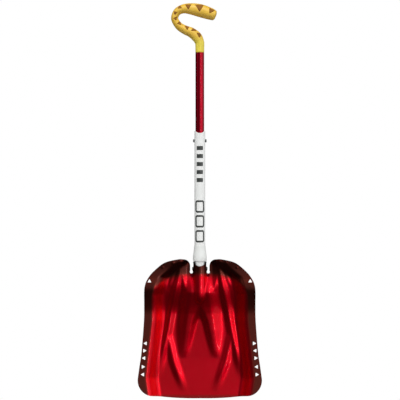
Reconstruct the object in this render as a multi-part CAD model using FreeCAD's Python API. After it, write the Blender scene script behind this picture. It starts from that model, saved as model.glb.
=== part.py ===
import FreeCAD, Part
import math
import os
from FreeCAD import Vector

os.makedirs("parts", exist_ok=True)

# Avalanche shovel in millimetres. +Z runs up the shaft, the origin is on the shaft's axis at the
# digging edge, +X is the side that the grip opens to, and the blade's hollow face looks along -Y.

# Blade sheet
blade_width = 263.4
blade_height = 297.3
sheet = 2.0
waist_width = 236.4
corner_height = 44.0
edge_bow = 5.2
lobe_start = 20.5
lobe_peak = 38.0
pan_depth = 14.0
tip_lift = 10.0
side_depth = 25.0
margin = 17.0
wall_width = 27.0
lobe_lean = 5.0
crest_height = 18.5
rib_height = 4.2
rib_half_width = 9.5
pole_spacing = 8.0
hole_side = 8.6
hole_corner = 1.0
past_blade = 120.0

# Socket on the blade
socket_radius = 13.9
socket_wall = 1.3
socket_length = 60.0
socket_drop = 9.3
mouth_dip = 6.4
mouth_radius = 11.6
rim_height = 3.4
rim_overhang = 0.4
flange_reach = 24.0
flange_sheet = 1.5
flange_length = 34.0
seam = 0.4
slit_depth = 22.0
rivet_radius = 1.6
rivet_head_radius = 2.9
rivet_head_height = 1.0
rivet_offset = 18.0
rivet_below_slit = 3.6
flange_below_slit = 0.5
socket_floor_gap = 4.0

# Shafts
lower_radius = 11.4
lower_wall = 1.2
lower_length = 334.6
upper_wall = 1.2
upper_length = 216.8
flat_depth = 2.4
overlap = 49.6
top_dip = 4.7
top_dip_radius = 11.6
bush_wall = 0.87
bush_length = 10.5
sleeve_length = 34.0
sleeve_radius = 14.6
sleeve_band = 11.0
sleeve_lip = 0.5
sleeve_chamfer = 1.0
sleeve_rim_gap = 0.8
bush_below_dip = 0.4
plug_wall = 1.6
plug_length = 9.0
plug_flange = 3.0
shoe_flange = 8.0
shoe_length = 10.0
shoe_wall = 1.6

# Locks and pins
button_radius = 3.4
button_head_extra = 1.1
button_head = 1.0
button_rounding = 1.2
upper_button_proud = 3.0
lower_button_proud = 2.5
upper_lock_below_top = 20.9
lower_lock_below_rim = 14.7
strip = 0.8
strip_width = 6.0
leg_below_button = 13.0
leg_above_button = 5.5
pin_radius = 1.5

# Grip
collar_length = 21.0
spigot_length = 26.0
grip_reach = 53.5
pocket_floor = 6.5
pocket_rounding = 0.12
form_start = 5.0
ring_points = 16

# Clearances
running = 0.1
bush_clearance = 0.08
loose = 0.3

# Heights and radii worked out from the sizes above
liner_radius = socket_radius - socket_wall
liner_bore = lower_radius + running
neck_top = blade_height - socket_drop
socket_bottom = neck_top - socket_length
rim_top = neck_top + rim_height
lower_bottom = socket_bottom + plug_flange + socket_floor_gap
lower_top = lower_bottom + lower_length
lower_bore = lower_radius - lower_wall
upper_radius = lower_bore - bush_wall - bush_clearance
upper_bore = upper_radius - upper_wall
upper_bottom = lower_top - overlap
upper_top = upper_bottom + upper_length
upper_lock = lower_top - upper_lock_below_top
lower_lock = rim_top - lower_lock_below_rim
collar_top = upper_top + collar_length
slit_bottom = neck_top - slit_depth
rivet_height = slit_bottom - rivet_below_slit


def rod(radius, length, base, direction):
    return Part.makeCylinder(radius, length, base, direction)


def block(low, high):
    size = high.sub(low)
    return Part.makeBox(size.x, size.y, size.z, low)


def flatted(radius, bottom, top):
    """A bar of circular section with one flat along its back."""
    bar = rod(radius, top - bottom, Vector(0, 0, bottom), Vector(0, 0, 1))
    back = block(Vector(-radius, radius - flat_depth, bottom), Vector(radius, radius + 1, top))
    return bar.cut(back)


def cross_hole(radius, reach, height):
    return rod(radius, 2 * reach, Vector(-reach, 0, height), Vector(1, 0, 0))


def front_pin(half_length, height):
    return rod(pin_radius, 2 * half_length, Vector(0, -half_length, height), Vector(0, 1, 0))


def smooth(start, end, value):
    part = min(1.0, max(0.0, (value - start) / (end - start)))
    return part * part * (3 - 2 * part)


def bump(part):
    inside = max(0.0, 1 - part * part)
    return inside * inside


def through(points, value):
    """The height at a value of a line that runs straight from point to point, level past its ends."""
    if value <= points[0][0]:
        return points[0][1]
    for (v0, w0), (v1, w1) in zip(points, points[1:]):
        if value <= v1:
            return w0 + (w1 - w0) * (value - v0) / (v1 - v0)
    return points[-1][1]


def distance_to_line(x, z, start, end):
    """The distance to a straight run, and how far along it the nearest point lies."""
    run = Vector(end[0] - start[0], 0, end[1] - start[1])
    to_point = Vector(x - start[0], 0, z - start[1])
    along = min(1.0, max(0.0, to_point.dot(run) / run.dot(run)))
    return to_point.sub(run * along).Length, along


def wall_foot(z):
    """The distance from the middle to the outer top of the blade's side wall at a height."""
    half = blade_width / 2
    waist = waist_width / 2
    stations = [
        (0.0, half - margin - 6),
        (corner_height, half - margin),
        (0.56 * blade_height, waist - margin),
        (0.75 * blade_height, waist - margin),
        (0.87 * blade_height, 0.80 * waist - 4),
        (0.95 * blade_height, 0.52 * waist),
        (1.02 * blade_height, 0.25 * waist),
    ]
    return through(stations, z)


def rib_runs():
    """The three pressed ribs on the right half, each as its straight runs."""
    half = blade_width / 2
    outer = [(lobe_peak, 0.95), (0.41 * half, 0.716), (0.55 * half, 0.488), (0.74 * half, 0.13)]
    inner = [(0.515 * half, 0.46), (0.24 * half, 0.055)]
    centre = [(0.13 * half, 0.70), (0.30 * half, 0.32)]
    return [outer, inner, centre]


def rib_rise(x, z):
    rise = 0.0
    for run in rib_runs():
        nearest = rib_half_width
        for (x0, part0), (x1, part1) in zip(run, run[1:]):
            ends = (x0, part0 * blade_height), (x1, part1 * blade_height)
            gap, along = distance_to_line(x, z, *ends)
            nearest = min(nearest, gap)
        rise = max(rise, rib_height * bump(nearest / rib_half_width))
    return rise


def blade_depth(x, z):
    """The depth of the blade's front face behind the shaft's axis plane."""
    side = abs(x)
    neck = smooth(0.60 * blade_height, socket_bottom + 17, z)
    low = max(0.0, 1 - z / (0.6 * blade_height))
    pan = pan_depth * (1 - neck) - tip_lift * low * low
    foot = wall_foot(z)
    top_ease = 1 - 0.55 * smooth(0.78 * blade_height, 0.95 * blade_height, z)
    wall = side_depth * top_ease * smooth(foot - wall_width, foot, side)
    lean = lobe_lean * smooth(0.84 * blade_height, blade_height, z) * smooth(24, 60, side)
    fade = min(1.0, max(0.0, (z - 0.36 * blade_height) / (socket_bottom - 0.36 * blade_height)))
    start = 1 - smooth(socket_bottom, socket_bottom + 24, z)
    crest_width = 30 + 14 * (1 - fade)
    crest = crest_height * fade * start * bump(side / crest_width)
    return pan - wall - lean - crest - rib_rise(side, z) - sheet / 2


def blade_surface():
    """The front face's surface over a rectangle that covers the blade, from a net of poles."""
    half = blade_width / 2 + pole_spacing
    columns = 2 * round(half / pole_spacing) + 1
    rows = round((blade_height + 2 * pole_spacing) / pole_spacing) + 1
    net = []
    for i in range(columns):
        x = -half + 2 * half * i / (columns - 1)
        line = []
        for j in range(rows):
            z = -pole_spacing + (blade_height + 2 * pole_spacing) * j / (rows - 1)
            line.append(Vector(x, blade_depth(x, z), z))
        net.append(line)
    surface = Part.BSplineSurface()
    across = [4] + [1] * (columns - 4) + [4]
    up = [4] + [1] * (rows - 4) + [4]
    surface.buildFromPolesMultsKnots(
        net, across, up, list(range(columns - 2)), list(range(rows - 2)), False, False, 3, 3)
    return surface.toShape()


def curve(points):
    line = Part.BSplineCurve()
    line.interpolate([Vector(x, 0, z) for x, z in points])
    return line.toShape()


def arc(start, middle, end):
    ends = [Vector(x, 0, z) for x, z in (start, middle, end)]
    return Part.Arc(*ends).toShape()


def half_outline(side):
    """The right (+1) or left (-1) half of the blade's outline, from the edge up to the neck."""
    half = blade_width / 2
    waist = waist_width / 2
    top = blade_height

    def at(x, z):
        return (side * x, z)

    corner = at(0.79 * half, edge_bow + 1.2)
    hip = at(half, corner_height)
    flank = [
        hip,
        at(0.975 * half, 0.228 * top),
        at(0.939 * half, 0.343 * top),
        at(0.902 * half, 0.558 * top),
        at(waist, 0.673 * top),
        at(0.992 * waist, 0.80 * top),
        at(0.915 * waist, 0.873 * top),
        at(0.78 * waist, 0.931 * top),
        at(0.618 * waist, 0.977 * top),
        at(lobe_peak + 8, 0.9985 * top),
        at(lobe_peak - 3, 0.9985 * top),
    ]
    inner = at(lobe_start, top - 15)
    slit_top = at(lobe_start, slit_bottom + 6)
    slit_point = at((lobe_start + socket_radius) / 2 + 0.6, slit_bottom)
    neck_edge = at(socket_radius - 0.7, slit_bottom + 6)
    neck_rim = at(socket_radius - 0.7, neck_top)
    edges = [
        arc(at(0, 0), at(0.4 * half, 1.05), corner),
        arc(corner, at(0.94 * half, 0.40 * corner_height), hip),
        curve(flank),
        arc(flank[-1], at(lobe_start + 3.5, top - 5.5), inner),
        Part.makeLine(Vector(inner[0], 0, inner[1]), Vector(slit_top[0], 0, slit_top[1])),
        Part.makeLine(Vector(slit_top[0], 0, slit_top[1]), Vector(slit_point[0], 0, slit_point[1])),
        Part.makeLine(Vector(slit_point[0], 0, slit_point[1]), Vector(neck_edge[0], 0, neck_edge[1])),
        Part.makeLine(Vector(neck_edge[0], 0, neck_edge[1]), Vector(neck_rim[0], 0, neck_rim[1])),
    ]
    return edges, neck_rim


def blade_outline():
    right, right_rim = half_outline(1)
    left, left_rim = half_outline(-1)
    neck = Part.makeLine(Vector(right_rim[0], 0, right_rim[1]), Vector(left_rim[0], 0, left_rim[1]))
    wire = Part.Wire(Part.__sortEdges__(right + left + [neck]))
    plate = Part.Face(wire)
    plate.translate(Vector(0, -past_blade, 0))
    return plate.extrude(Vector(0, 2 * past_blade, 0))


def crossing_edges(prism):
    """The edges of a prism that run from its front face to its back face."""
    return [e for e in prism.Edges if abs(e.Vertexes[0].Y - e.Vertexes[1].Y) > 1]


def triangle_hole(x, z, angle):
    """A see-through triangular hole whose point is turned by an angle from +X."""
    reach = hole_side / math.sqrt(3)
    points = []
    for k in range(4):
        turn = math.radians(angle + 120 * k)
        points.append(Vector(x + reach * math.cos(turn), -past_blade, z + reach * math.sin(turn)))
    prism = Part.Face(Part.makePolygon(points)).extrude(Vector(0, 2 * past_blade, 0))
    return prism.makeFillet(hole_corner, crossing_edges(prism))


def anchor_holes():
    """Two holes in the shoulders and a row of five up each lower side."""
    holes = []
    half = blade_width / 2
    row = [(0.875, 0.397), (0.895, 0.345), (0.900, 0.292), (0.918, 0.230), (0.918, 0.175)]
    for side in (-1, 1):
        holes.append(triangle_hole(side * 0.812 * half, 0.8425 * blade_height, 90))
        for number, (across, up) in enumerate(row):
            outward = number % 2 == 0
            to_right = (side == 1) == outward
            angle = 0 if to_right else 180
            holes.append(triangle_hole(side * across * half, up * blade_height, angle))
    return holes


def tube_part(outer, inner, bottom, top, removed):
    """A length of the socket's tube with a block of space removed from it."""
    tube = rod(outer, top - bottom, Vector(0, 0, bottom), Vector(0, 0, 1))
    tube = tube.cut(rod(inner, top - bottom, Vector(0, 0, bottom), Vector(0, 0, 1)))
    return tube.cut(removed)


def mouth_cut():
    """The dip in the front of the socket's mouth."""
    centre = Vector(0, -2 * socket_radius, neck_top - mouth_dip + mouth_radius)
    return rod(mouth_radius, 2 * socket_radius + sheet / 2, centre, Vector(0, 1, 0))


def lower_button_hole():
    return cross_hole(button_radius + loose, 2 * socket_radius, lower_lock)


def rivet_places():
    return [Vector(side * rivet_offset, 0, rivet_height) for side in (-1, 1)]


def rivet_hole(place):
    return rod(rivet_radius, 2 * pan_depth, place.sub(Vector(0, pan_depth, 0)), Vector(0, 1, 0))


def blade():
    face = blade_surface().common(blade_outline())
    for hole in anchor_holes():
        face = face.cut(hole)
    pan = face.Faces[0].extrude(Vector(0, sheet, 0))
    middle = socket_radius - 0.7 * socket_wall
    pan = pan.cut(rod(middle, blade_height, Vector(0, 0, socket_bottom), Vector(0, 0, 1)))
    low = Vector(-socket_radius, sheet / 2 - seam, socket_bottom)
    high = Vector(socket_radius, socket_radius, neck_top)
    neck = tube_part(socket_radius, liner_radius, socket_bottom, neck_top, block(low, high))
    solid = pan.fuse(neck)
    solid = solid.cut(mouth_cut())
    solid = solid.cut(lower_button_hole())
    for place in rivet_places():
        solid = solid.cut(rivet_hole(place))
    return solid


def socket_shell():
    low = Vector(-socket_radius, -socket_radius, socket_bottom)
    high = Vector(socket_radius, sheet / 2, neck_top)
    shell = tube_part(socket_radius, liner_radius, socket_bottom, neck_top, block(low, high))
    flange_bottom = slit_bottom - flange_length
    near = math.sqrt(liner_radius ** 2 - sheet ** 2 / 4) + running
    for side in (-1, 1):
        edges = sorted((side * near, side * flange_reach))
        low = Vector(edges[0], sheet / 2, flange_bottom)
        high = Vector(edges[1], sheet / 2 + flange_sheet, slit_bottom - flange_below_slit)
        shell = shell.fuse(block(low, high))
    shell = shell.cut(rod(liner_radius, socket_length, Vector(0, 0, socket_bottom), Vector(0, 0, 1)))
    shell = shell.cut(lower_button_hole())
    for place in rivet_places():
        shell = shell.cut(rivet_hole(place))
    return shell.removeSplitter()


def socket_liner():
    height = rim_top - socket_bottom
    liner = rod(liner_radius, height, Vector(0, 0, socket_bottom), Vector(0, 0, 1))
    rim = rod(socket_radius + rim_overhang, rim_height, Vector(0, 0, neck_top), Vector(0, 0, 1))
    liner = liner.fuse(rim)
    liner = liner.cut(flatted(liner_bore, socket_bottom - 1, rim_top + 1))
    return liner.cut(mouth_cut()).cut(lower_button_hole()).removeSplitter()


def socket_rivets():
    rivets = []
    back_of_pan = sheet / 2
    for place in rivet_places():
        start = place.sub(Vector(0, back_of_pan + rivet_head_height, 0))
        length = sheet + flange_sheet + 2 * rivet_head_height
        rivet = rod(rivet_radius, length, start, Vector(0, 1, 0))
        tail = place.add(Vector(0, back_of_pan + flange_sheet, 0))
        for head_base in (start, tail):
            rivet = rivet.fuse(rod(rivet_head_radius, rivet_head_height, head_base, Vector(0, 1, 0)))
        rivets.append(rivet.removeSplitter())
    return Part.makeCompound(rivets)


def lower_shaft():
    tube = flatted(lower_radius, lower_bottom, lower_top)
    tube = tube.cut(flatted(lower_bore, lower_bottom - 1, lower_top + 1))
    dip_centre = Vector(0, -2 * lower_radius, lower_top - top_dip + top_dip_radius)
    tube = tube.cut(rod(top_dip_radius, 4 * lower_radius, dip_centre, Vector(0, 1, 0)))
    tube = tube.cut(cross_hole(button_radius + loose, 2 * lower_radius, upper_lock))
    tube = tube.cut(cross_hole(button_radius + bush_clearance, 2 * lower_radius, lower_lock))
    return tube.cut(front_pin(lower_radius + 1, lower_bottom + plug_length / 2))


def shaft_bush():
    top = lower_top - top_dip - bush_below_dip
    bush = flatted(lower_bore, top - bush_length, top)
    return bush.cut(flatted(upper_radius + bush_clearance, top - bush_length - 1, top + 1))


def stop_sleeve():
    bottom = rim_top + sleeve_rim_gap
    line = [
        Vector(0, 0, bottom),
        Vector(sleeve_radius - sleeve_chamfer, 0, bottom),
        Vector(sleeve_radius, 0, bottom + 2 * sleeve_chamfer),
        Vector(sleeve_radius, 0, bottom + sleeve_band),
        Vector(lower_radius + sleeve_lip, 0, bottom + sleeve_length),
        Vector(0, 0, bottom + sleeve_length),
        Vector(0, 0, bottom),
    ]
    sleeve = Part.Face(Part.makePolygon(line)).revolve(Vector(0, 0, 0), Vector(0, 0, 1), 360)
    return sleeve.cut(flatted(lower_radius, bottom - 1, bottom + sleeve_length + 1))


def end_plug():
    plug = flatted(lower_radius, lower_bottom - plug_flange, lower_bottom)
    plug = plug.fuse(flatted(lower_bore, lower_bottom, lower_bottom + plug_length))
    hollow = flatted(lower_bore - plug_wall, lower_bottom, lower_bottom + plug_length + 1)
    plug = plug.cut(hollow).removeSplitter()
    return plug.cut(front_pin(lower_radius + 1, lower_bottom + plug_length / 2))


def plug_pin():
    pin = front_pin(lower_radius, lower_bottom + plug_length / 2)
    return pin.common(flatted(lower_radius, lower_bottom, lower_bottom + plug_length))


def upper_shaft():
    tube = flatted(upper_radius, upper_bottom, upper_top)
    tube = tube.cut(flatted(upper_bore, upper_bottom - 1, upper_top + 1))
    tube = tube.cut(cross_hole(button_radius + bush_clearance, 2 * upper_radius, upper_lock))
    tube = tube.cut(front_pin(upper_radius + 1, upper_bottom + shoe_length / 2))
    return tube.cut(cross_hole(pin_radius, 2 * upper_radius, upper_top - spigot_length / 2))


def guide_shoe():
    shoe = flatted(lower_bore - running, upper_bottom - shoe_flange, upper_bottom)
    shoe = shoe.fuse(flatted(upper_bore, upper_bottom, upper_bottom + shoe_length))
    hollow_bottom = upper_bottom - shoe_flange - 1
    hollow = flatted(upper_bore - shoe_wall, hollow_bottom, upper_bottom + shoe_length + 1)
    shoe = shoe.cut(hollow).removeSplitter()
    return shoe.cut(front_pin(upper_radius + 1, upper_bottom + shoe_length / 2))


def shoe_pin():
    pin = front_pin(upper_radius, upper_bottom + shoe_length / 2)
    return pin.common(flatted(upper_radius, upper_bottom, upper_bottom + shoe_length))


def head_radius(own_bore):
    """A button's head is wider than its pin, but clears the flat in the bore around it."""
    return min(button_radius + button_head_extra, own_bore - flat_depth - running)


def head_seat(own_bore):
    """How far out a button's head may stand before it meets the round bore around it."""
    return math.sqrt(own_bore ** 2 - head_radius(own_bore) ** 2) - running


def lock_button(side, own_bore, tip, height):
    """A round pin with a rounded end and a head that stays inside its own tube."""
    seat = head_seat(own_bore)
    outward = Vector(side, 0, 0)
    base = Vector(side * (seat - button_head), 0, height)
    pin = rod(button_radius, tip - seat + button_head, base, outward)
    rims = [e for e in pin.Edges if abs(e.BoundBox.Center.x - side * tip) < running]
    pin = pin.makeFillet(button_rounding, rims)
    head = rod(head_radius(own_bore), button_head, base, outward)
    return pin.fuse(head).removeSplitter()


def lock_spring(own_bore, height):
    """A strip bent into a U whose two legs stand behind the buttons' heads."""
    outside = head_seat(own_bore) - button_head - running
    inside = outside - strip
    bend = height - leg_below_button
    start = Vector(0, -strip_width / 2, bend)
    ring = rod(outside, strip_width, start, Vector(0, 1, 0))
    ring = ring.cut(rod(inside, strip_width, start, Vector(0, 1, 0)))
    upper_half = block(Vector(-outside, -strip_width, bend), Vector(outside, strip_width, bend + outside))
    spring = ring.cut(upper_half)
    for side in (-1, 1):
        edges = sorted((side * inside, side * outside))
        low = Vector(edges[0], -strip_width / 2, bend)
        high = Vector(edges[1], strip_width / 2, height + leg_above_button)
        spring = spring.fuse(block(low, high))
    return spring.removeSplitter()


def grip_stations():
    """Centre line of the grip: across, up from the collar, half thickness, half depth."""
    reach = grip_reach
    return [
        (0.0, -form_start, upper_radius + loose, upper_radius + loose),
        (-0.6, 1.0, 9.8, 9.8),
        (-6.5, 12.0, 11.2, 11.0),
        (-0.34 * reach, 21.5, 10.6, 11.6),
        (-0.58 * reach, 27.0, 9.6, 11.8),
        (-0.83 * reach, 35.5, 8.4, 11.6),
        (-1.0 * reach, 51.0, 7.6, 11.2),
        (-0.90 * reach, 65.3, 8.3, 11.4),
        (-0.66 * reach, 71.8, 9.7, 12.2),
        (-0.38 * reach, 72.1, 11.9, 13.0),
        (0.0, 68.4, 13.9, 13.8),
        (0.38 * reach, 62.0, 13.1, 13.6),
        (0.55 * reach, 58.4, 11.2, 12.2),
        (0.635 * reach, 56.8, 7.6, 8.4),
    ]


def grip_form():
    """The grip's outside, lofted through rounded rings square to its centre line."""
    stations = grip_stations()
    rings = []
    for number, (x, up, thick, deep) in enumerate(stations):
        before = stations[max(number - 1, 0)]
        after = stations[min(number + 1, len(stations) - 1)]
        along = Vector(after[0] - before[0], 0, after[1] - before[1]).normalize()
        if number == 0:
            along = Vector(0, 0, 1)
        across = Vector(along.z, 0, -along.x)
        centre = Vector(x, 0, collar_top + up)
        points = []
        for step in range(ring_points):
            turn = 2 * math.pi * step / ring_points
            aside = across * (thick * math.cos(turn))
            points.append(centre + aside + Vector(0, deep * math.sin(turn), 0))
        loop = Part.BSplineCurve()
        loop.interpolate(Points=points, PeriodicFlag=True)
        rings.append(Part.Wire(loop.toShape()))
    return Part.makeLoft(rings, True, False)


def pocket_places():
    """Each triangular pocket in the grip: across, up from the collar, side length, turn."""
    reach = grip_reach
    return [
        (-0.80 * reach, 74.8, 8.0, 210),
        (-0.46 * reach, 76.8, 11.5, 270),
        (-0.01 * reach, 75.0, 16.5, 270),
        (0.455 * reach, 67.5, 11.5, 240),
        (-0.975 * reach, 62.5, 6.4, 255),
        (-0.965 * reach, 50.5, 6.2, 300),
        (-0.81 * reach, 40.6, 7.4, 195),
        (-0.50 * reach, 32.2, 9.2, 270),
        (-0.235 * reach, 27.6, 10.0, 210),
        (-0.01 * reach, 16.6, 10.6, 270),
    ]


def pockets(face_side):
    """The prisms of the pockets in the grip's front (-1) or back (+1)."""
    prisms = []
    for x, up, side_length, angle in pocket_places():
        reach = side_length / math.sqrt(3)
        points = []
        for corner in range(4):
            turn = math.radians(angle + 120 * corner)
            height = collar_top + up + reach * math.sin(turn)
            points.append(Vector(x + reach * math.cos(turn), face_side * pocket_floor, height))
        outward = Vector(0, face_side * grip_reach, 0)
        prism = Part.Face(Part.makePolygon(points)).extrude(outward)
        prisms.append(prism.makeFillet(pocket_rounding * side_length, crossing_edges(prism)))
    return prisms


def grip_body():
    collar = rod(upper_radius, collar_length - form_start, Vector(0, 0, upper_top), Vector(0, 0, 1))
    body = grip_form().fuse(collar)
    body = body.fuse(flatted(upper_bore, upper_top - spigot_length, upper_top + 1))
    for face_side in (-1, 1):
        for prism in pockets(face_side):
            body = body.cut(prism)
    return body.cut(cross_hole(pin_radius, 2 * upper_radius, upper_top - spigot_length / 2))


def grip_inlays(face_side):
    form = grip_form()
    inlays = [prism.common(form) for prism in pockets(face_side)]
    return Part.makeCompound([solid for inlay in inlays for solid in inlay.Solids])


def grip_pin():
    height = upper_top - spigot_length / 2
    pin = cross_hole(pin_radius, upper_radius + 1, height)
    start = Vector(0, 0, height - 2 * pin_radius)
    return pin.common(rod(upper_radius, 4 * pin_radius, start, Vector(0, 0, 1)))


def build():
    upper_tip = lower_radius + upper_button_proud
    lower_tip = socket_radius + lower_button_proud
    pieces = {
        "grip_body": grip_body(),
        "grip_inlays_front": grip_inlays(-1),
        "grip_inlays_back": grip_inlays(1),
        "grip_pin": grip_pin(),
        "upper_shaft": upper_shaft(),
        "guide_shoe": guide_shoe(),
        "shoe_pin": shoe_pin(),
        "upper_lock_spring": lock_spring(upper_bore, upper_lock),
        "upper_button_right": lock_button(1, upper_bore, upper_tip, upper_lock),
        "upper_button_left": lock_button(-1, upper_bore, upper_tip, upper_lock),
        "lower_shaft": lower_shaft(),
        "shaft_bush": shaft_bush(),
        "stop_sleeve": stop_sleeve(),
        "lower_lock_spring": lock_spring(lower_bore, lower_lock),
        "lower_button_right": lock_button(1, lower_bore, lower_tip, lower_lock),
        "lower_button_left": lock_button(-1, lower_bore, lower_tip, lower_lock),
        "end_plug": end_plug(),
        "plug_pin": plug_pin(),
        "blade": blade(),
        "socket_shell": socket_shell(),
        "socket_liner": socket_liner(),
        "socket_rivets": socket_rivets(),
    }
    for name, shape in pieces.items():
        shape.exportStep("parts/" + name + ".step")
    return pieces


build()
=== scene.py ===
import math
import bmesh
import bpy
import numpy as np
from mathutils import Matrix, Vector


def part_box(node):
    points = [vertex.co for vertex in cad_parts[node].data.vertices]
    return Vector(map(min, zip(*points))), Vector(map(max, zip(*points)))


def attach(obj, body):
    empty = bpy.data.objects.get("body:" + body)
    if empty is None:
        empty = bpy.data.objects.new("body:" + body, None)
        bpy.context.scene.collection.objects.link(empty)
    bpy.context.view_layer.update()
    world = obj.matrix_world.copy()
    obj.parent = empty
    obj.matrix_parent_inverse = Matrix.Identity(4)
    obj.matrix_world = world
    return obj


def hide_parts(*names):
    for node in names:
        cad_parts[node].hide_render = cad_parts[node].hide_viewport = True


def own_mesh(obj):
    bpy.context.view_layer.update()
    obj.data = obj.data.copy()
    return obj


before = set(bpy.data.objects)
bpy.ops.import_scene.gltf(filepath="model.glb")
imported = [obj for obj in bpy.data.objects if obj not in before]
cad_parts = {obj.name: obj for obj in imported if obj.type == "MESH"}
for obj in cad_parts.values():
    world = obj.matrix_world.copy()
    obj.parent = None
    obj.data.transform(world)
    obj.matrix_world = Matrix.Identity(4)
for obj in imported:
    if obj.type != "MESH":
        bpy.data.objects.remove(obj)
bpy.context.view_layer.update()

# Sizes in metres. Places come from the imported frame.
MM = 0.001
BLADE_LOW, BLADE_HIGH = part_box("blade")
SHELL_LOW, SHELL_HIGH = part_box("socket_shell")
LOWER_LOW, LOWER_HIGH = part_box("lower_shaft")
UPPER_LOW, UPPER_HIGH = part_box("upper_shaft")
SLEEVE_LOW, SLEEVE_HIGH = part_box("stop_sleeve")

HALF_WIDTH = BLADE_HIGH.x - 0.3 * MM
WAIST = 0.8975 * HALF_WIDTH
HEIGHT = BLADE_HIGH.z
NECK_TOP = SHELL_HIGH.z
SOCKET_BOTTOM = SHELL_LOW.z
SOCKET_RADIUS = SHELL_HIGH.y
LOWER_RADIUS = LOWER_HIGH.x
UPPER_RADIUS = UPPER_HIGH.x
FLAT_DEPTH = LOWER_RADIUS - LOWER_HIGH.y

# The blade's pressing
SHEET = 1.6 * MM
CELL = 1.7 * MM
PAN_DEPTH = 14 * MM
TIP_LIFT = 10 * MM
SIDE_DEPTH = 25 * MM
MARGIN = 17 * MM
WALL_WIDTH = 27 * MM
LOBE_LEAN = 5 * MM
SLIT_BOTTOM = NECK_TOP - 22 * MM
LOBE_START = 20.5 * MM
LOBE_PEAK = 38 * MM
HOLE_SIDE = 8.6 * MM
MOUTH_DIP = 6.4 * MM
CUT_REACH = 100 * MM

# Shafts
TUBE_WALL = 1.2 * MM
TOP_DIP = 4.7 * MM
TOP_DIP_RADIUS = 11.6 * MM
BUTTON_RADIUS = 3.4 * MM
BUTTON_HEAD = 1.0 * MM
BUTTON_HEAD_EXTRA = 1.1 * MM
UPPER_BUTTON_KEEP = 0.43
LOWER_BUTTON_KEEP = 0.37

# Grip
COLLAR_TOP = UPPER_HIGH.z + 21 * MM
GRIP_REACH = 53.5 * MM
POCKET_DEPTH = 1.5 * MM

# Print on the white tube
FRAME_HEIGHTS = (345.5 * MM, 377.3 * MM, 408.8 * MM)
FIRST_BAR = 465.0 * MM
BAR_PITCH = 17.0 * MM
BAR_COUNT = 5


def step(low, high, value):
    """0 at low and 1 at high, with an eased rise between them."""
    part = np.clip((value - low) / (high - low), 0, 1)
    return part * part * (3 - 2 * part)


def catmull(points, pieces):
    """Points on a smooth curve through the given ones, open at both ends."""
    points = [Vector(p) for p in points]
    padded = [2 * points[0] - points[1], *points, 2 * points[-1] - points[-2]]
    found = []
    for before, start, end, after in zip(padded, padded[1:], padded[2:], padded[3:]):
        for k in range(pieces):
            t = k / pieces
            pull = 2 * start + (end - before) * t
            pull += (2 * before - 5 * start + 4 * end - after) * t * t
            pull += (3 * start - before - 3 * end + after) * t ** 3
            found.append(pull / 2)
    return [*found, points[-1]]


def arc(start, middle, end, pieces):
    """Points on the circle through three points in a plane."""
    (x1, z1), (x2, z2), (x3, z3) = start, middle, end
    turn = 2 * (x1 * (z2 - z3) + x2 * (z3 - z1) + x3 * (z1 - z2))
    s1, s2, s3 = (x * x + z * z for x, z in (start, middle, end))
    cx = (s1 * (z2 - z3) + s2 * (z3 - z1) + s3 * (z1 - z2)) / turn
    cz = (s1 * (x3 - x2) + s2 * (x1 - x3) + s3 * (x2 - x1)) / turn
    radius = math.hypot(x1 - cx, z1 - cz)
    a1, a2, a3 = (math.atan2(z - cz, x - cx) for x, z in (start, middle, end))
    sweep = (a3 - a1) % (2 * math.pi)
    if (a2 - a1) % (2 * math.pi) > sweep:
        sweep -= 2 * math.pi
    angles = [a1 + sweep * k / pieces for k in range(pieces + 1)]
    return [Vector((cx + radius * math.cos(a), cz + radius * math.sin(a))) for a in angles]


# ---------------------------------------------------------------- mesh helpers

def new_object(name, data):
    """An object at the origin, linked into the scene."""
    made = bpy.data.objects.new(name, data)
    bpy.context.scene.collection.objects.link(made)
    return made


def mesh_object(bm, name):
    """Turns a bmesh into an object, and frees it."""
    mesh = bpy.data.meshes.new(name)
    bm.to_mesh(mesh)
    bm.free()
    return new_object(name, mesh)


def finished(bm, name, body, replaced, smooth_under=40):
    """Turns a bmesh into a shaded piece that rides on a body and stands for a CAD node."""
    for face in bm.faces:
        face.smooth = True
    sharp = math.radians(smooth_under)
    for edge in bm.edges:
        edge.smooth = len(edge.link_faces) != 2 or edge.calc_face_angle(0) < sharp
    piece = mesh_object(bm, name)
    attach(piece, body)
    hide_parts(replaced)
    return piece


def loft(bm, rings, closed=False, caps=False, segments=48):
    """Bridges rings, each given as a matrix for a unit circle in its XY plane."""
    loops = []
    for matrix in rings:
        made = bmesh.ops.create_circle(bm, cap_ends=False, radius=1, segments=segments, matrix=matrix)
        verts = made["verts"]
        loops.append([e for v in verts for e in v.link_edges])
    loops = [list(dict.fromkeys(loop)) for loop in loops]
    pairs = list(zip(loops, loops[1:]))
    if closed:
        pairs.append((loops[-1], loops[0]))
    for first, second in pairs:
        bmesh.ops.bridge_loops(bm, edges=first + second)
    if caps:
        for loop in (loops[0], loops[-1]):
            bmesh.ops.contextual_create(bm, geom=loop)
    bmesh.ops.recalc_face_normals(bm, faces=bm.faces[:])


def prism(points):
    """A closed solid over an outline in the XZ plane, long enough to cut right through."""
    bm = bmesh.new()
    face = bm.faces.new([bm.verts.new((x, -CUT_REACH, z)) for x, z in points])
    made = bmesh.ops.extrude_face_region(bm, geom=[face])
    moved = [g for g in made["geom"] if isinstance(g, bmesh.types.BMVert)]
    bmesh.ops.translate(bm, verts=moved, vec=(0, 2 * CUT_REACH, 0))
    bmesh.ops.recalc_face_normals(bm, faces=bm.faces[:])
    return bm


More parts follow.
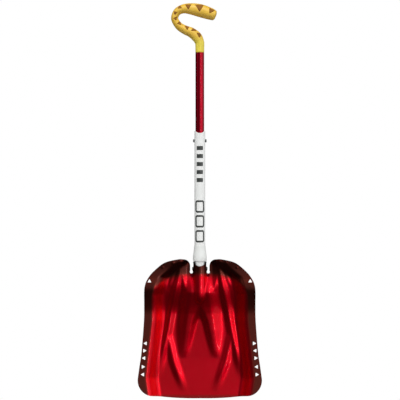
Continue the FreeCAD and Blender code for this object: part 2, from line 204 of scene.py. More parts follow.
def cut_with(bm, cutter, operation):
    """Applies a boolean cut to a bmesh and returns the new bmesh."""
    holder = mesh_object(bm, "cutting")
    tool = mesh_object(cutter, "cutter")
    modifier = holder.modifiers.new("cut", "BOOLEAN")
    modifier.operation = operation
    modifier.solver = "EXACT"
    modifier.object = tool
    graph = bpy.context.evaluated_depsgraph_get()
    result = bpy.data.meshes.new_from_object(holder.evaluated_get(graph))
    made = bmesh.new()
    made.from_mesh(result)
    bpy.data.objects.remove(holder)
    bpy.data.objects.remove(tool)
    return made


def join_all(parts):
    """Several bmeshes as one."""
    whole = bmesh.new()
    for part in parts:
        mesh = bpy.data.meshes.new("part")
        part.to_mesh(mesh)
        part.free()
        whole.from_mesh(mesh)
    return whole


# ---------------------------------------------------------------- blade

def wall_foot(z):
    """Half the distance between the tops of the two side walls at a height."""
    heights = np.array([0, 0.148, 0.56, 0.75, 0.87, 0.95, 1.02]) * HEIGHT
    feet = [
        HALF_WIDTH - MARGIN - 6 * MM,
        HALF_WIDTH - MARGIN,
        WAIST - MARGIN,
        WAIST - MARGIN,
        0.80 * WAIST - 4 * MM,
        0.52 * WAIST,
        0.25 * WAIST,
    ]
    return np.interp(z, heights, feet)


def rib_runs():
    """The right half's pressed ribs: the points each runs through, half width, height and lower fade."""
    outer = [(38, 289), (47, 250), (53, 220), (61, 185), (68, 144), (90, 46)]
    inner = [(69, 136), (55, 77), (35, 20)]
    bead = [(36, 288), (36, 262), (33, 232)]
    fold = [(47, 281), (56, 262), (64, 240)]
    return [
        (outer, 11.5, 5.4, (34, 120)),
        (inner, 11.5, 3.9, (8, 70)),
        (bead, 7.5, 3.8, (222, 246)),
        (fold, 6.5, 2.2, (232, 252)),
    ]


def rib_rise(side, z):
    rise = np.zeros_like(side)
    for run, half_width, height, (gone, full) in rib_runs():
        nearest = np.full_like(side, 1.0)
        for (x0, z0), (x1, z1) in zip(run, run[1:]):
            x0, z0, x1, z1 = x0 * MM, z0 * MM, x1 * MM, z1 * MM
            dx, dz = x1 - x0, z1 - z0
            along = np.clip(((side - x0) * dx + (z - z0) * dz) / (dx * dx + dz * dz), 0, 1)
            nearest = np.minimum(nearest, np.hypot(side - x0 - along * dx, z - z0 - along * dz))
        part = np.clip(1 - nearest / (half_width * MM), 0, 1)
        profile = 0.5 * part + 0.5 * part * part * (3 - 2 * part)
        fade = step(gone * MM, full * MM, z)
        rise = np.maximum(rise, height * MM * fade * profile)
    return rise


def crest_rise(side, z):
    """The wide ridge below the socket, which parts into two legs as it runs down."""
    heights = np.array([85, 100, 144, 187, 226, 258]) * MM
    top = np.interp(z, heights, np.array([36, 33, 28, 22, 17, 15]) * MM)
    foot = np.interp(z, heights, np.array([47, 49, 52, 50, 45, 38]) * MM)
    rise = np.interp(z, heights, np.array([0, 2.4, 7.5, 11, 11, 0]) * MM)
    crest = rise * (1 - step(top, foot, side))
    valley = np.interp(z, np.array([90, 112, 158, 196]) * MM, np.array([27, 22, 12, 0]) * MM)
    depth = 0.8 * step(205 * MM, 165 * MM, z)
    return crest * (1 - depth * (1 - step(valley - 6 * MM, valley + 7 * MM, side)))


def neck_front(side, z):
    """The front of the socket: a half round with drafted sides and a rounded lower end."""
    under = np.clip((SOCKET_BOTTOM - z) / (27 * MM), 0, 1)
    radius = SOCKET_RADIUS * np.sqrt(np.clip(1 - under * under, 0, 1))
    turn = 0.86
    edge = radius * turn
    round_part = np.sqrt(np.clip(radius * radius - np.minimum(side, edge) ** 2, 0, None))
    slope = turn / math.sqrt(1 - turn * turn)
    return np.where(under < 1, np.clip(side - edge, 0, None) * slope - round_part, 1.0)


def toe_bumps(side, z):
    """Small raised studs along the top edge that give a boot its grip."""
    rise = np.zeros_like(side)
    for x, height in ((36.5, 291.5), (57, 289), (79, 279.5)):
        gap = np.hypot(side - x * MM, z - height * MM)
        rise += 0.9 * MM * (1 - step(0.8 * MM, 3.4 * MM, gap))
    return rise


def pressed_level(side, z):
    """The pressed sheet's front face without the socket, before its edges are eased."""
    neck = step(0.60 * HEIGHT, SOCKET_BOTTOM + 17 * MM, z)
    low = np.clip(1 - z / (0.6 * HEIGHT), 0, None)
    pan = PAN_DEPTH * (1 - neck) - TIP_LIFT * low * low
    foot = wall_foot(z)
    ease = 1 - 0.55 * step(0.78 * HEIGHT, 0.95 * HEIGHT, z)
    wall = SIDE_DEPTH * ease * step(foot - WALL_WIDTH, foot, side)
    lean = LOBE_LEAN * step(0.84 * HEIGHT, HEIGHT, z) * step(24 * MM, 60 * MM, side)
    return pan - wall - lean - crest_rise(side, z) - rib_rise(side, z) - SHEET / 2


def blade_front(x, z):
    """How far the blade's front face lies behind the shaft's axis plane."""
    level = 0.16 * pressed_level(np.abs(x), z)
    for radius, share in ((1.9 * MM, 0.48), (3.8 * MM, 0.36)):
        for turn in np.arange(8) * math.pi / 4 + radius:
            moved = np.abs(x + radius * math.cos(turn))
            level = level + share / 8 * pressed_level(moved, z + radius * math.sin(turn))
    side = np.abs(x)
    level = level - toe_bumps(side, z)
    front = neck_front(side, z)
    blend = 2.2 * MM
    mix = np.clip(0.5 + 0.5 * (level - front) / blend, 0, 1)
    return level * (1 - mix) + front * mix - blend * mix * (1 - mix)


def half_outline():
    """The right half of the blade's outline, from the digging edge up to the socket's mouth."""
    half = HALF_WIDTH
    corner = (0.79 * half, 6.4 * MM)
    hip = (half, 44 * MM)
    flank = [
        hip,
        (0.975 * half, 0.228 * HEIGHT),
        (0.939 * half, 0.343 * HEIGHT),
        (0.902 * half, 0.558 * HEIGHT),
        (WAIST, 0.673 * HEIGHT),
        (0.992 * WAIST, 0.80 * HEIGHT),
        (0.915 * WAIST, 0.873 * HEIGHT),
        (0.78 * WAIST, 0.931 * HEIGHT),
        (0.618 * WAIST, 0.977 * HEIGHT),
        (LOBE_PEAK + 8 * MM, 0.9985 * HEIGHT),
        (LOBE_PEAK - 3 * MM, 0.9985 * HEIGHT),
    ]
    lobe = (LOBE_START, HEIGHT - 15 * MM)
    points = arc((0, 0), (0.4 * half, 1.05 * MM), corner, 12)[:-1]
    points += arc(corner, (0.94 * half, 17.6 * MM), hip, 14)[:-1]
    points += catmull(flank, 6)[:-1]
    points += arc(flank[-1], (LOBE_START + 3.5 * MM, HEIGHT - 5.5 * MM), lobe, 8)
    slit_outside = (LOBE_START, SLIT_BOTTOM + 6 * MM)
    slit_inside = (15.6 * MM, SLIT_BOTTOM + 6 * MM)
    points += arc(slit_outside, (17.9 * MM, SLIT_BOTTOM), slit_inside, 6)
    points += [Vector((15.3 * MM, SLIT_BOTTOM + 10 * MM)), Vector((13.7 * MM, NECK_TOP - 5 * MM))]
    rim = (13.9 * MM, NECK_TOP + 0.5 * MM)
    points += arc(rim, (7.4 * MM, NECK_TOP - MOUTH_DIP + 1.9 * MM), (0, NECK_TOP - MOUTH_DIP), 8)[:-1]
    return points


def blade_outline():
    right = half_outline()
    left = [Vector((-x, z)) for x, z in reversed(right[1:])]
    return [*right, Vector((0, NECK_TOP - MOUTH_DIP)), *left]


def triangle(x, z, side_length, angle, rounding=0.16):
    """A rounded triangle about a point, turned by an angle from +X."""
    reach = side_length / math.sqrt(3)
    corners = [math.radians(angle + 120 * k) for k in range(3)]
    points = []
    for corner in corners:
        for swing in (-60, -30, 0, 30, 60):
            turn = corner + math.radians(swing)
            inner = reach * (1 - 2 * rounding)
            px = x + inner * math.cos(corner) + reach * rounding * math.cos(turn)
            pz = z + inner * math.sin(corner) + reach * rounding * math.sin(turn)
            points.append(Vector((px, pz)))
    return points


def hole_places():
    row = [(0.875, 0.397), (0.895, 0.345), (0.900, 0.292), (0.918, 0.230), (0.918, 0.175)]
    places = []
    for side in (-1, 1):
        places.append((side * 0.812 * HALF_WIDTH, 0.8425 * HEIGHT, 90))
        for number, (across, up) in enumerate(row):
            to_right = (side == 1) == (number % 2 == 0)
            places.append((side * across * HALF_WIDTH, up * HEIGHT, 0 if to_right else 180))
    return places


def make_blade():
    reach = HALF_WIDTH + 4 * MM
    tall = HEIGHT + 8 * MM
    bm = bmesh.new()
    turned = Matrix.Translation((0, 0, tall / 2 - 4 * MM)) @ Matrix.Rotation(math.pi / 2, 4, "X")
    sized = turned @ Matrix.Diagonal((reach, tall / 2, 1, 1))
    across, up = round(2 * reach / CELL), round(tall / CELL)
    bmesh.ops.create_grid(bm, x_segments=across, y_segments=up, size=1, matrix=sized)
    places = np.array([v.co for v in bm.verts])
    for vert, depth in zip(bm.verts, blade_front(places[:, 0], places[:, 2])):
        vert.co.y = depth
    bmesh.ops.recalc_face_normals(bm, faces=bm.faces[:])
    bm.normal_update()
    bm.faces.ensure_lookup_table()
    if bm.faces[0].normal.y > 0:
        bmesh.ops.reverse_faces(bm, faces=bm.faces[:])
    bmesh.ops.solidify(bm, geom=bm.faces[:], thickness=SHEET)
    bmesh.ops.recalc_face_normals(bm, faces=bm.faces[:])
    bm = cut_with(bm, prism(blade_outline()), "INTERSECT")
    holes = [prism(triangle(x, z, HOLE_SIDE, angle)) for x, z, angle in hole_places()]
    bm = cut_with(bm, join_all(holes), "DIFFERENCE")
    piece = finished(bm, "blade_pressing", "blade_head", "blade", 50)
    # painted shade: each point keeps how far it lies in the blade's browner rim and darker top edge
    rim_shade_level = piece.data.attributes.new("painted_rim_shade", "FLOAT", "POINT")
    for vert, value in zip(piece.data.vertices, painted_rim_shade(piece.data)):
        rim_shade_level.data[vert.index].value = value
    return piece


def painted_rim_shade(mesh):
    """How far each point lies in the flat rim, to 1, or in the darker top edge, to 1.6, with a browner
    strip along the digging edge. The browner rim, darker higher up, and the darker top edge are painted
    shade for where the pressing's side walls and top edge face away from the light.
    """
    places = np.array([v.co for v in mesh.vertices])
    side, z = np.abs(places[:, 0]), places[:, 2]
    rim = step(-5 * MM, 4 * MM, side - wall_foot(z))
    across = np.array([20, 45, 70, 95, 112, 120]) * MM
    under_edge = np.array([264, 262, 256, 238, 214, 196]) * MM
    curl = step(-9 * MM, 12 * MM, z - np.interp(side, across, under_edge))
    edge = 1 - step(0, 7 * MM, z - 3 * MM)
    rim = rim * (1 + 0.6 * step(205 * MM, 240 * MM, z))
    return np.maximum(np.maximum(rim, curl * 1.6), 0.6 * edge)


# ---------------------------------------------------------------- shafts

def tube_ring(radius, z):
    return Matrix.Translation((0, 0, z)) @ Matrix.Diagonal((radius, radius, 1, 1))


def flatten_back(bm):
    """Presses the flat into the back of a round tube, at the same depth on every ring."""
    for vert in bm.verts:
        radius = math.hypot(vert.co.x, vert.co.y)
        vert.co.y = min(vert.co.y, radius - FLAT_DEPTH)


def flatted_tube(radius, wall, low, high):
    """A tube with one flat, rounded lips and evenly spaced rings."""
    lip = 0.35 * MM
    middle = [(radius, low + (high - low) * k / 12) for k in range(1, 12)]
    outside = [(radius - lip, low), (radius, low + lip), *middle]
    outside += [(radius, high - lip), (radius - lip, high)]
    inside = [(radius - wall, high - lip / 2), *[(radius - wall, z) for _, z in reversed(middle)]]
    inside.append((radius - wall, low + lip / 2))
    bm = bmesh.new()
    loft(bm, [tube_ring(r, z) for r, z in outside + inside], closed=True, segments=96)
    flatten_back(bm)
    return bm


def make_lower_shaft():
    bm = flatted_tube(LOWER_RADIUS, TUBE_WALL, LOWER_LOW.z, LOWER_HIGH.z)
    top = LOWER_HIGH.z
    for vert in bm.verts:
        if vert.co.z > top - 2 * MM:
            across = min(abs(vert.co.x), TOP_DIP_RADIUS)
            sagged = TOP_DIP_RADIUS - math.sqrt(TOP_DIP_RADIUS ** 2 - across ** 2)
            vert.co.z += min(0, sagged - TOP_DIP)
    holes = [round_hole(height) for height in button_heights()]
    bm = cut_with(bm, join_all(holes), "DIFFERENCE")
    return finished(bm, "white_tube", "lower", "lower_shaft")


def button_heights():
    heights = []
    for node in ("upper_button_right", "lower_button_right"):
        low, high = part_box(node)
        heights.append((low.z + high.z) / 2)
    return heights


def round_hole(height):
    bm = bmesh.new()
    turned = Matrix.Translation((0, 0, height)) @ Matrix.Rotation(math.pi / 2, 4, "Y")
    wide = BUTTON_RADIUS + 0.3 * MM
    bmesh.ops.create_cone(
        bm, cap_ends=True, segments=48, radius1=wide, radius2=wide, depth=80 * MM, matrix=turned)
    return bm


def make_upper_shaft():
    bm = flatted_tube(UPPER_RADIUS, TUBE_WALL, UPPER_LOW.z, UPPER_HIGH.z)
    return finished(bm, "red_tube", "handle", "upper_shaft")


def turned_piece(profile, axis, centre, segments=64):
    """Spins a closed profile of (radius, distance along the axis) points round an axis."""
    bm = bmesh.new()
    across = Vector((0, 1, 0))
    points = [bm.verts.new(centre + across * r + axis * d) for r, d in profile]
    edges = [bm.edges.new(pair) for pair in zip(points, points[1:] + points[:1])]
    bmesh.ops.spin(
        bm, geom=points + edges, cent=centre, axis=axis, angle=2 * math.pi, steps=segments, use_merge=True)
    bmesh.ops.remove_doubles(bm, verts=bm.verts[:], dist=1e-6)
    bmesh.ops.recalc_face_normals(bm, faces=bm.faces[:])
    return bm


def make_sleeve():
    """The widened stop above the socket."""
    low, high = SLEEVE_LOW.z, SLEEVE_HIGH.z
    wide = SLEEVE_HIGH.x
    bore = LOWER_RADIUS - 0.4 * MM
    shape = catmull([
        (wide - 1.4 * MM, 0),
        (wide - 0.3 * MM, 1.0 * MM),
        (wide, 3.5 * MM),
        (wide - 0.1 * MM, 11 * MM),
        (wide - 1.6 * MM, 21 * MM),
        (LOWER_RADIUS + 0.7 * MM, high - low - 2.5 * MM),
        (LOWER_RADIUS + 0.2 * MM, high - low),
    ], 4)
    profile = [tuple(p) for p in shape] + [(bore, high - low), (bore, 0)]
    bm = turned_piece(profile, Vector((0, 0, 1)), Vector((0, 0, low)), 96)
    return finished(bm, "stop_collar", "lower", "stop_sleeve", 60)


def make_button(node, body):
    """A lock button with a rounded end."""
    low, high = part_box(node)
    side = 1 if low.x + high.x > 0 else -1
    tip = max(abs(low.x), abs(high.x))
    tail = min(abs(low.x), abs(high.x))
    height = (low.z + high.z) / 2
    r = BUTTON_RADIUS
    length = tip - tail
    rounded = arc((r, length - 1.3 * MM), (r - 0.38 * MM, length - 0.38 * MM), (r - 1.3 * MM, length), 6)
    profile = [(0, 0), (r + BUTTON_HEAD_EXTRA, 0), (r + BUTTON_HEAD_EXTRA, BUTTON_HEAD), (r, BUTTON_HEAD)]
    profile += [tuple(p) for p in rounded]
    profile += [(1.3 * MM, length), (0.9 * MM, length - 0.35 * MM), (0, length - 0.4 * MM)]
    bm = turned_piece(profile, Vector((side, 0, 0)), Vector((side * tail, 0, height)), 40)
    piece = finished(bm, node + "_cap", body, node)
    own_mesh(piece)
    return piece


# ---------------------------------------------------------------- grip

def grip_stations():
    """Centre line of the grip: across, up from the collar, half thickness, half depth."""
    reach = GRIP_REACH / MM
    return [
        (0.0, -5.0, 9.5, 9.5),
        (-0.6, 1.0, 9.8, 9.8),
        (-6.5, 12.0, 11.2, 11.0),
        (-0.34 * reach, 21.5, 10.6, 11.6),
        (-0.58 * reach, 27.0, 9.6, 11.8),
        (-0.83 * reach, 35.5, 8.4, 11.6),
        (-1.0 * reach, 51.0, 7.6, 11.2),
        (-0.90 * reach, 65.3, 8.3, 11.4),
        (-0.66 * reach, 71.8, 9.7, 12.2),
        (-0.38 * reach, 72.1, 11.9, 13.0),
        (0.0, 68.4, 13.9, 13.8),
        (0.38 * reach, 62.0, 13.1, 13.6),
        (0.56 * reach, 58.3, 11.4, 12.4),
    ]


def pocket_places():
    """Each triangular pad in the grip: across, up from the collar, side length, turn."""
    reach = GRIP_REACH / MM
    return [
        (-0.80 * reach, 74.8, 8.0, 210),
        (-0.46 * reach, 76.8, 11.5, 270),
        (-0.01 * reach, 75.0, 16.5, 270),
        (0.455 * reach, 67.5, 11.5, 240),
        (-0.975 * reach, 62.5, 6.4, 255),
        (-0.965 * reach, 50.5, 6.2, 300),
        (-0.81 * reach, 40.6, 7.4, 195),
        (-0.50 * reach, 32.2, 9.2, 270),
        (-0.235 * reach, 27.6, 10.0, 210),
        (-0.01 * reach, 16.6, 10.6, 270),
    ]


def pocket_depth(x, z):
    """How deep the grip's face is let in at a point for its triangular pads."""
    deepest = 0.0
    for across, up, side_length, angle in pocket_places():
        dx, dz = x / MM - across, (z - COLLAR_TOP) / MM - up
        inner = side_length / (2 * math.sqrt(3))
        gap = -1e9
        for k in range(3):
            turn = math.radians(angle + 60 + 120 * k)
            gap = max(gap, dx * math.cos(turn) + dz * math.sin(turn) - inner)
        deepest = max(deepest, POCKET_DEPTH * float(1 - step(0.2, 1.0, gap)))
    return deepest


def make_grip():
    line = catmull(grip_stations(), 24)
    collar = UPPER_RADIUS + 0.1 * MM
    foot = UPPER_HIGH.z
    rings = [tube_ring(UPPER_RADIUS - 0.25 * MM, foot), tube_ring(collar, foot + 0.5 * MM)]
    rings += [tube_ring(collar, foot + k * 3.5 * MM) for k in range(1, 4)]
    for number, (x, up, thick, deep) in enumerate(line):
        before = line[max(number - 1, 0)]
        after = line[min(number + 1, len(line) - 1)]
        along = Vector((after[0] - before[0], 0, after[1] - before[1])).normalized()
        if number == 0:
            along = Vector((0, 0, 1))
        across = Vector((along.z, 0, -along.x))
        placed = Matrix((across * thick * MM, Vector((0, deep * MM, 0)), along * MM)).transposed().to_4x4()
        placed.translation = Vector((x * MM, 0, COLLAR_TOP + up * MM))
        rings.append(placed)
    tip_along = along
    last = rings[-1]
    for share, forward in ((0.965, 1.2), (0.88, 2.5), (0.74, 3.5), (0.52, 4.3), (0.24, 4.75)):
        smaller = last.copy()
        for column in (0, 1):
            for row in range(3):
                smaller[row][column] *= share
        smaller.translation = last.translation + tip_along * forward * MM
        rings.append(smaller)
    bm = bmesh.new()
    loft(bm, rings, caps=True, segments=120)
    depths = [pocket_depth(v.co.x, v.co.z) if abs(v.co.y) > 4 * MM else 0.0 for v in bm.verts]
    for vert, depth in zip(bm.verts, depths):
        vert.co.y -= math.copysign(depth, vert.co.y)
    piece = finished(bm, "hook_grip", "handle", "grip_body", 70)
    pad = piece.data.attributes.new("pad_tone", "FLOAT", "POINT")
    for number, depth in enumerate(depths):
        pad.data[number].value = min(1.0, depth / (0.8 * MM))
    return piece


# ---------------------------------------------------------------- finishes

class Value:
    """One number in a material's nodes, which Python's own operators work on."""

    def __init__(self, tree, socket):
        self.tree = tree
        self.socket = socket

    def into(self, target):
        self.tree.links.new(self.socket, target)

    def maths(self, operation, *others):
        node = self.tree.nodes.new("ShaderNodeMath")
        node.operation = operation
        for target, value in zip(node.inputs, others):
            if isinstance(value, Value):
                value.into(target)
            else:
                target.default_value = value
        return Value(self.tree, node.outputs[0])

    def __add__(self, other):
        return self.maths("ADD", self, other)

    def __sub__(self, other):
        return self.maths("SUBTRACT", self, other)

    def __rsub__(self, other):
        return self.maths("SUBTRACT", other, self)

    def __mul__(self, other):
        return self.maths("MULTIPLY", self, other)

    def __truediv__(self, other):
        return self.maths("DIVIDE", self, other)

    def __neg__(self):
        return self.maths("MULTIPLY", self, -1.0)

    __radd__ = __add__
    __rmul__ = __mul__

    def absolute(self):
        return self.maths("ABSOLUTE", self)

    def least(self, other):
        return self.maths("MINIMUM", self, other)

    def most(self, other):
        return self.maths("MAXIMUM", self, other)

    def between(self, low, high):
        """0 below low and 1 above high, with a straight rise between them."""
        return ((self - low) / (high - low)).most(0.0).least(1.0)


class Finish:
    """A surface finish being mixed: one material, its nodes and its main shader."""

    def __init__(self, name, **constants):
        self.material = bpy.data.materials.new(name)
        self.material.use_nodes = True
        self.tree = self.material.node_tree
        self.shader = self.tree.nodes["Principled BSDF"]
        for socket, value in constants.items():
            self.shader.inputs[socket.replace("_", " ")].default_value = value
        self.place = self.node("ShaderNodeTexCoord").outputs["Object"]

    def node(self, kind, settings=None, inputs=None):
        made = self.tree.nodes.new(kind)
        for key, value in (settings or {}).items():
            setattr(made, key, value)
        for key, value in (inputs or {}).items():
            target = made.inputs[key]
            if isinstance(value, Value):
                value.into(target)
            elif isinstance(value, bpy.types.NodeSocket):
                self.tree.links.new(value, target)
            else:
                target.default_value = value
        return made

    def axes(self):
        split = self.node("ShaderNodeSeparateXYZ", None, {0: self.place})
        return [Value(self.tree, split.outputs[k]) for k in range(3)]

    def stretched(self, x, y, z):
        return self.node("ShaderNodeMapping", None, {"Vector": self.place, "Scale": (x, y, z)}).outputs[0]

    def grain(self, scale, detail=3.0, roughness=0.55, vector=None):
        inputs = {"Vector": vector or self.place, "Scale": scale, "Detail": detail, "Roughness": roughness}
        return Value(self.tree, self.node("ShaderNodeTexNoise", None, inputs).outputs[0])

    def mix(self, factor, first, second):
        """A blend of two colours, each a colour tuple or another blend."""
        inputs = {0: factor, 6: first, 7: second}
        return self.node("ShaderNodeMix", {"data_type": "RGBA"}, inputs).outputs[2]

    def attribute(self, name):
        return Value(self.tree, self.node("ShaderNodeAttribute", {"attribute_name": name}).outputs["Fac"])

    def colour(self, socket):
        self.tree.links.new(socket, self.shader.inputs["Base Color"])

    def varied(self, name, value):
        value.into(self.shader.inputs[name])

    def relief(self, height, depth):
        bump = self.node("ShaderNodeBump", None, {"Height": height, "Distance": depth, "Strength": 1.0})
        self.tree.links.new(bump.outputs[0], self.shader.inputs["Normal"])


def rgb(r, g, b):
    """A screen colour of 0 to 255 as the shader's own linear colour."""
    def linear(c):
        c = c / 255
        return c / 12.92 if c <= 0.04045 else ((c + 0.055) / 1.055) ** 2.4
    return (linear(r), linear(g), linear(b), 1.0)


def red_anodised(name, toned):
    """Bright red dye over satin metal. On the blade the dye is brighter, a painted lit copy of the same
    anodising; its rim is browner and its top edge darker, which is painted shade; and it is worn along its
    digging edge.
    """
    made = Finish(name, Metallic=1.0, Coat_Roughness=0.06, Coat_IOR=1.5)
    z = made.axes()[2]
    cloud = made.grain(9.0, 2.0)
    rolled = made.grain(1.0, 3.0, 0.6, made.stretched(900, 900, 14))
    fine = made.grain(420.0, 3.0)
    dye = made.mix(cloud.between(0.35, 0.65), (0.40, 0.002, 0.016, 1), (0.46, 0.003, 0.022, 1))
    roughness = 0.30 + cloud * 0.06 + rolled * 0.05
    if toned:
        # painted light: the blade's dye is set about twice as bright as the tube's, a lit copy of the same
        # red anodising
        dye = made.mix(cloud.between(0.35, 0.65), (0.80, 0.0004, 0.012, 1), (0.90, 0.001, 0.018, 1))
        # painted shade: the rim goes browner and the top edge darker where the pressing faces away from
        # the light; a browner strip also runs along the digging edge
        rim_shade_level = made.attribute("painted_rim_shade")
        painted_shade_colour = made.mix(fine.between(0.3, 0.7), (0.15, 0.022, 0.014, 1), (0.18, 0.028, 0.018, 1))
        dye = made.mix(rim_shade_level.least(1.0), dye, painted_shade_colour)
        dye = made.mix(rim_shade_level - 1.0, dye, (0.05, 0.008, 0.005, 1))
        scuffs = made.grain(260.0, 4.0, 0.7, made.stretched(1, 1, 2.6)).between(0.58, 0.68)
        worn = (1 - z.between(0.001, 0.009)) * scuffs * 0.5
        dye = made.mix(worn, dye, rgb(190, 150, 150))
        roughness = roughness + worn * 0.15
    made.colour(dye)
    made.varied("Coat Weight", 0.12 + fine * 0.2)
    made.varied("Roughness", roughness)
    made.relief(rolled, 0.000006)
    return made.material


def white_coat():
    made = Finish("white_powder_coat")
    x, y, z = made.axes()
    peel = made.grain(900.0, 2.0, 0.4)
    dust = made.grain(30.0, 3.0)
    around = x.maths("ARCTAN2", x, -y) * LOWER_RADIUS
    front = (-y).between(0.0, 0.5 * MM)
    print_mask = printed_frames(made, around, z).most(printed_bars(made, around, z)) * front
    coat = made.mix(dust.between(0.3, 0.7), rgb(244, 246, 244), rgb(250, 251, 250))
    made.colour(made.mix(print_mask, coat, rgb(62, 66, 64)))
    made.varied("Roughness", 0.34 + peel * 0.1)
    made.relief(peel, 0.00003)
    return made.material


def rounded_box_distance(around, z, centre, half_across, half_up, corner):
    """The distance outside a rounded rectangle on the tube's skin, negative inside it."""
    beside = (around.absolute() - (half_across - corner)).most(0.0)
    above = ((z - centre).absolute() - (half_up - corner)).most(0.0)
    return beside.maths("SQRT", beside * beside + above * above) - corner


def printed_frames(made, around, z):
    """Three plain rounded frames up the lower half of the tube."""
    whole = None
    for centre in FRAME_HEIGHTS:
        outside = rounded_box_distance(around, z, centre, 11.2 * MM, 13.4 * MM, 6.0 * MM)
        line = 1 - (outside + 2.1 * MM).absolute().between(1.8 * MM, 2.2 * MM)
        whole = line if whole is None else whole.most(line)
    return whole


def printed_bars(made, around, z):
    """Plain bars up the middle of the tube."""
    whole = None
    for k in range(BAR_COUNT):
        centre = FIRST_BAR + k * BAR_PITCH
        outside = rounded_box_distance(around, z, centre, 7.2 * MM, 4.4 * MM, 1.2 * MM)
        bar = 1 - outside.between(-0.2 * MM, 0.2 * MM)
        whole = bar if whole is None else whole.most(bar)
    return whole


def white_plastic():
    made = Finish("white_plastic")
    pores = made.grain(1400.0, 2.0)
    dust = made.grain(40.0)
    made.colour(made.mix(dust.between(0.3, 0.7), rgb(236, 239, 236), rgb(245, 247, 245)))
    made.varied("Roughness", 0.42 + pores * 0.12)
    made.relief(pores, 0.00002)
    return made.material


def grip_plastic():
    made = Finish("yellow_plastic")
    z = made.axes()[2]
    mottle = made.grain(28.0, 3.0)
    pores = made.grain(1600.0, 2.0)
    body = made.mix(mottle.between(0.3, 0.7), rgb(228, 184, 62), rgb(234, 192, 74))
    collar = 1 - z.between(COLLAR_TOP - 1 * MM, COLLAR_TOP + 14 * MM)
    body = made.mix(collar, body, rgb(236, 216, 78))
    made.colour(made.mix(made.attribute("pad_tone"), body, rgb(158, 100, 14)))
    made.varied("Roughness", 0.38 + pores * 0.14)
    made.relief(pores, 0.00003)
    return made.material


def plain_finish(name, first, second, roughness, scale=60.0, metallic=0.0, depth=0.00002):
    """A finish whose colour drifts a little between two tones over a fine grain."""
    made = Finish(name, Metallic=metallic)
    drift = made.grain(scale, 3.0)
    fine = made.grain(scale * 20, 2.0)
    made.colour(made.mix(drift.between(0.3, 0.7), rgb(*first), rgb(*second)))
    made.varied("Roughness", roughness + fine * 0.12)
    made.relief(fine, depth)
    return made.material


def give(piece, material):
    piece.data.materials.clear()
    piece.data.materials.append(material)


def give_node(node, material):
    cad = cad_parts[node]
    for slot in cad.material_slots:
        slot.material = material


# ---------------------------------------------------------------- the object

RED = red_anodised("red_anodised", False)
BLADE_RED = red_anodised("red_anodised_blade", True)
COAT = white_coat()
WHITE = white_plastic()
YELLOW = grip_plastic()
OCHRE = plain_finish("ochre_rubber", (128, 78, 2), (148, 94, 6), 0.72)
DARK = plain_finish("dark_plastic", (40, 46, 44), (54, 60, 58), 0.45)
BUTTON = plain_finish("button_plastic", (66, 72, 70), (80, 86, 84), 0.4)
STEEL = plain_finish("plain_steel", (170, 172, 176), (190, 192, 196), 0.25, metallic=1.0)
RIVET = plain_finish("red_rivet", (110, 10, 24), (130, 14, 30), 0.3, metallic=1.0)

give(make_blade(), BLADE_RED)
give(make_lower_shaft(), COAT)
give(make_upper_shaft(), RED)
give(make_sleeve(), WHITE)
give(make_grip(), YELLOW)
for side in ("right", "left"):
    for level, slide, keep in (
            ("upper", "shaft_slide", UPPER_BUTTON_KEEP), ("lower", "blade_pull", LOWER_BUTTON_KEEP)):
        button = make_button(level + "_button_" + side, level + "_" + side)
        give(button, BUTTON)

CARRIED_OVER = {
    "grip_inlays_front": OCHRE,
    "grip_inlays_back": OCHRE,
    "grip_pin": STEEL,
    "guide_shoe": DARK,
    "shoe_pin": STEEL,
    "upper_lock_spring": STEEL,
    "shaft_bush": DARK,
    "lower_lock_spring": STEEL,
    "end_plug": DARK,
    "plug_pin": STEEL,
    "socket_shell": RED,
    "socket_liner": DARK,
    "socket_rivets": RIVET,
}
for node, material in CARRIED_OVER.items():
    give_node(node, material)


# ---------------------------------------------------------------- studio

def make_floor():
    bm = bmesh.new()
    placed = Matrix.Translation((0, 0, BLADE_LOW.z - 85 * MM))
    bmesh.ops.create_grid(bm, x_segments=1, y_segments=1, size=0.8, matrix=placed)
    floor = mesh_object(bm, "floor")
    pale = Finish("pale_floor", Roughness=0.9)
    pale.shader.inputs["Base Color"].default_value = (0.9, 0.9, 0.9, 1)
    dim = pale.node("ShaderNodeBsdfDiffuse", None, {"Color": (0.05, 0.05, 0.05, 1)}).outputs[0]
    glossy = pale.node("ShaderNodeLightPath").outputs["Is Glossy Ray"]
    inputs = {0: glossy, 1: pale.shader.outputs[0], 2: dim}
    chosen = pale.node("ShaderNodeMixShader", None, inputs).outputs[0]
    pale.tree.links.new(chosen, pale.tree.nodes["Material Output"].inputs[0])
    floor.data.materials.append(pale.material)


def soft_light(name, place, target, width, height, power):
    light = bpy.data.lights.new(name, "AREA")
    light.shape = "RECTANGLE"
    light.size = width
    light.size_y = height
    light.energy = power
    holder = new_object(name, light)
    holder.location = place
    holder.rotation_euler = (Vector(target) - Vector(place)).to_track_quat("-Z", "Y").to_euler()


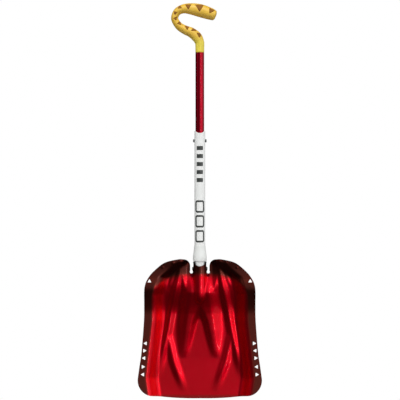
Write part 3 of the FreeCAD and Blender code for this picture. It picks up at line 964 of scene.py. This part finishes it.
def make_world():
    """A studio that is white behind the shovel, bright on its right and dim on its left and below."""
    world = bpy.data.worlds.new("studio")
    bpy.context.scene.world = world
    world.use_nodes = True
    tree = world.node_tree
    direction = tree.nodes.new("ShaderNodeTexCoord").outputs["Generated"]
    split = tree.nodes.new("ShaderNodeSeparateXYZ")
    tree.links.new(direction, split.inputs[0])
    to_right = Value(tree, split.outputs[0]).between(-0.36, 0.74)
    backward = Value(tree, split.outputs[1]).between(-0.35, 0.50)
    upward = Value(tree, split.outputs[2]).between(-0.50, 0.16)
    overhead = Value(tree, split.outputs[2]).between(0.34, 0.75)
    level = (0.07 + to_right * 1.2) * (0.08 + upward * 0.92) * (1 - overhead * 0.8) * (1 - backward * 0.75)
    room = tree.nodes["Background"]
    room.inputs[0].default_value = (1, 1, 1, 1)
    level.into(room.inputs[1])
    backdrop = tree.nodes.new("ShaderNodeBackground")
    backdrop.inputs[0].default_value = (1, 1, 1, 1)
    backdrop.inputs[1].default_value = 1.0
    path = tree.nodes.new("ShaderNodeLightPath")
    chosen = tree.nodes.new("ShaderNodeMixShader")
    tree.links.new(path.outputs["Is Camera Ray"], chosen.inputs[0])
    tree.links.new(room.outputs[0], chosen.inputs[1])
    tree.links.new(backdrop.outputs[0], chosen.inputs[2])
    tree.links.new(chosen.outputs[0], tree.nodes["World Output"].inputs[0])


def make_studio():
    make_floor()
    make_world()
    middle = (0, 0, 0.42)
    soft_light("top_box", (0.2, -1.5, 2.9), middle, 1.2, 0.8, 46)
    soft_light("strip", (1.35, -2.3, 0.6), middle, 0.18, 1.7, 7)
    soft_light("left_box", (-2.0, -0.9, 1.9), middle, 0.7, 0.7, 26)


def make_camera():
    camera = new_object("camera", bpy.data.cameras.new("camera"))
    distance = 5.0
    framed = 852 * MM
    sensor = 36.0
    camera.data.sensor_width = sensor
    camera.data.lens = sensor * distance / framed
    camera.location = (0.4 * MM, -distance, 422.6 * MM)
    camera.rotation_euler = (math.pi / 2, 0, 0)
    bpy.context.scene.camera = camera


make_studio()
make_camera()
bpy.context.scene.view_settings.view_transform = "Standard"
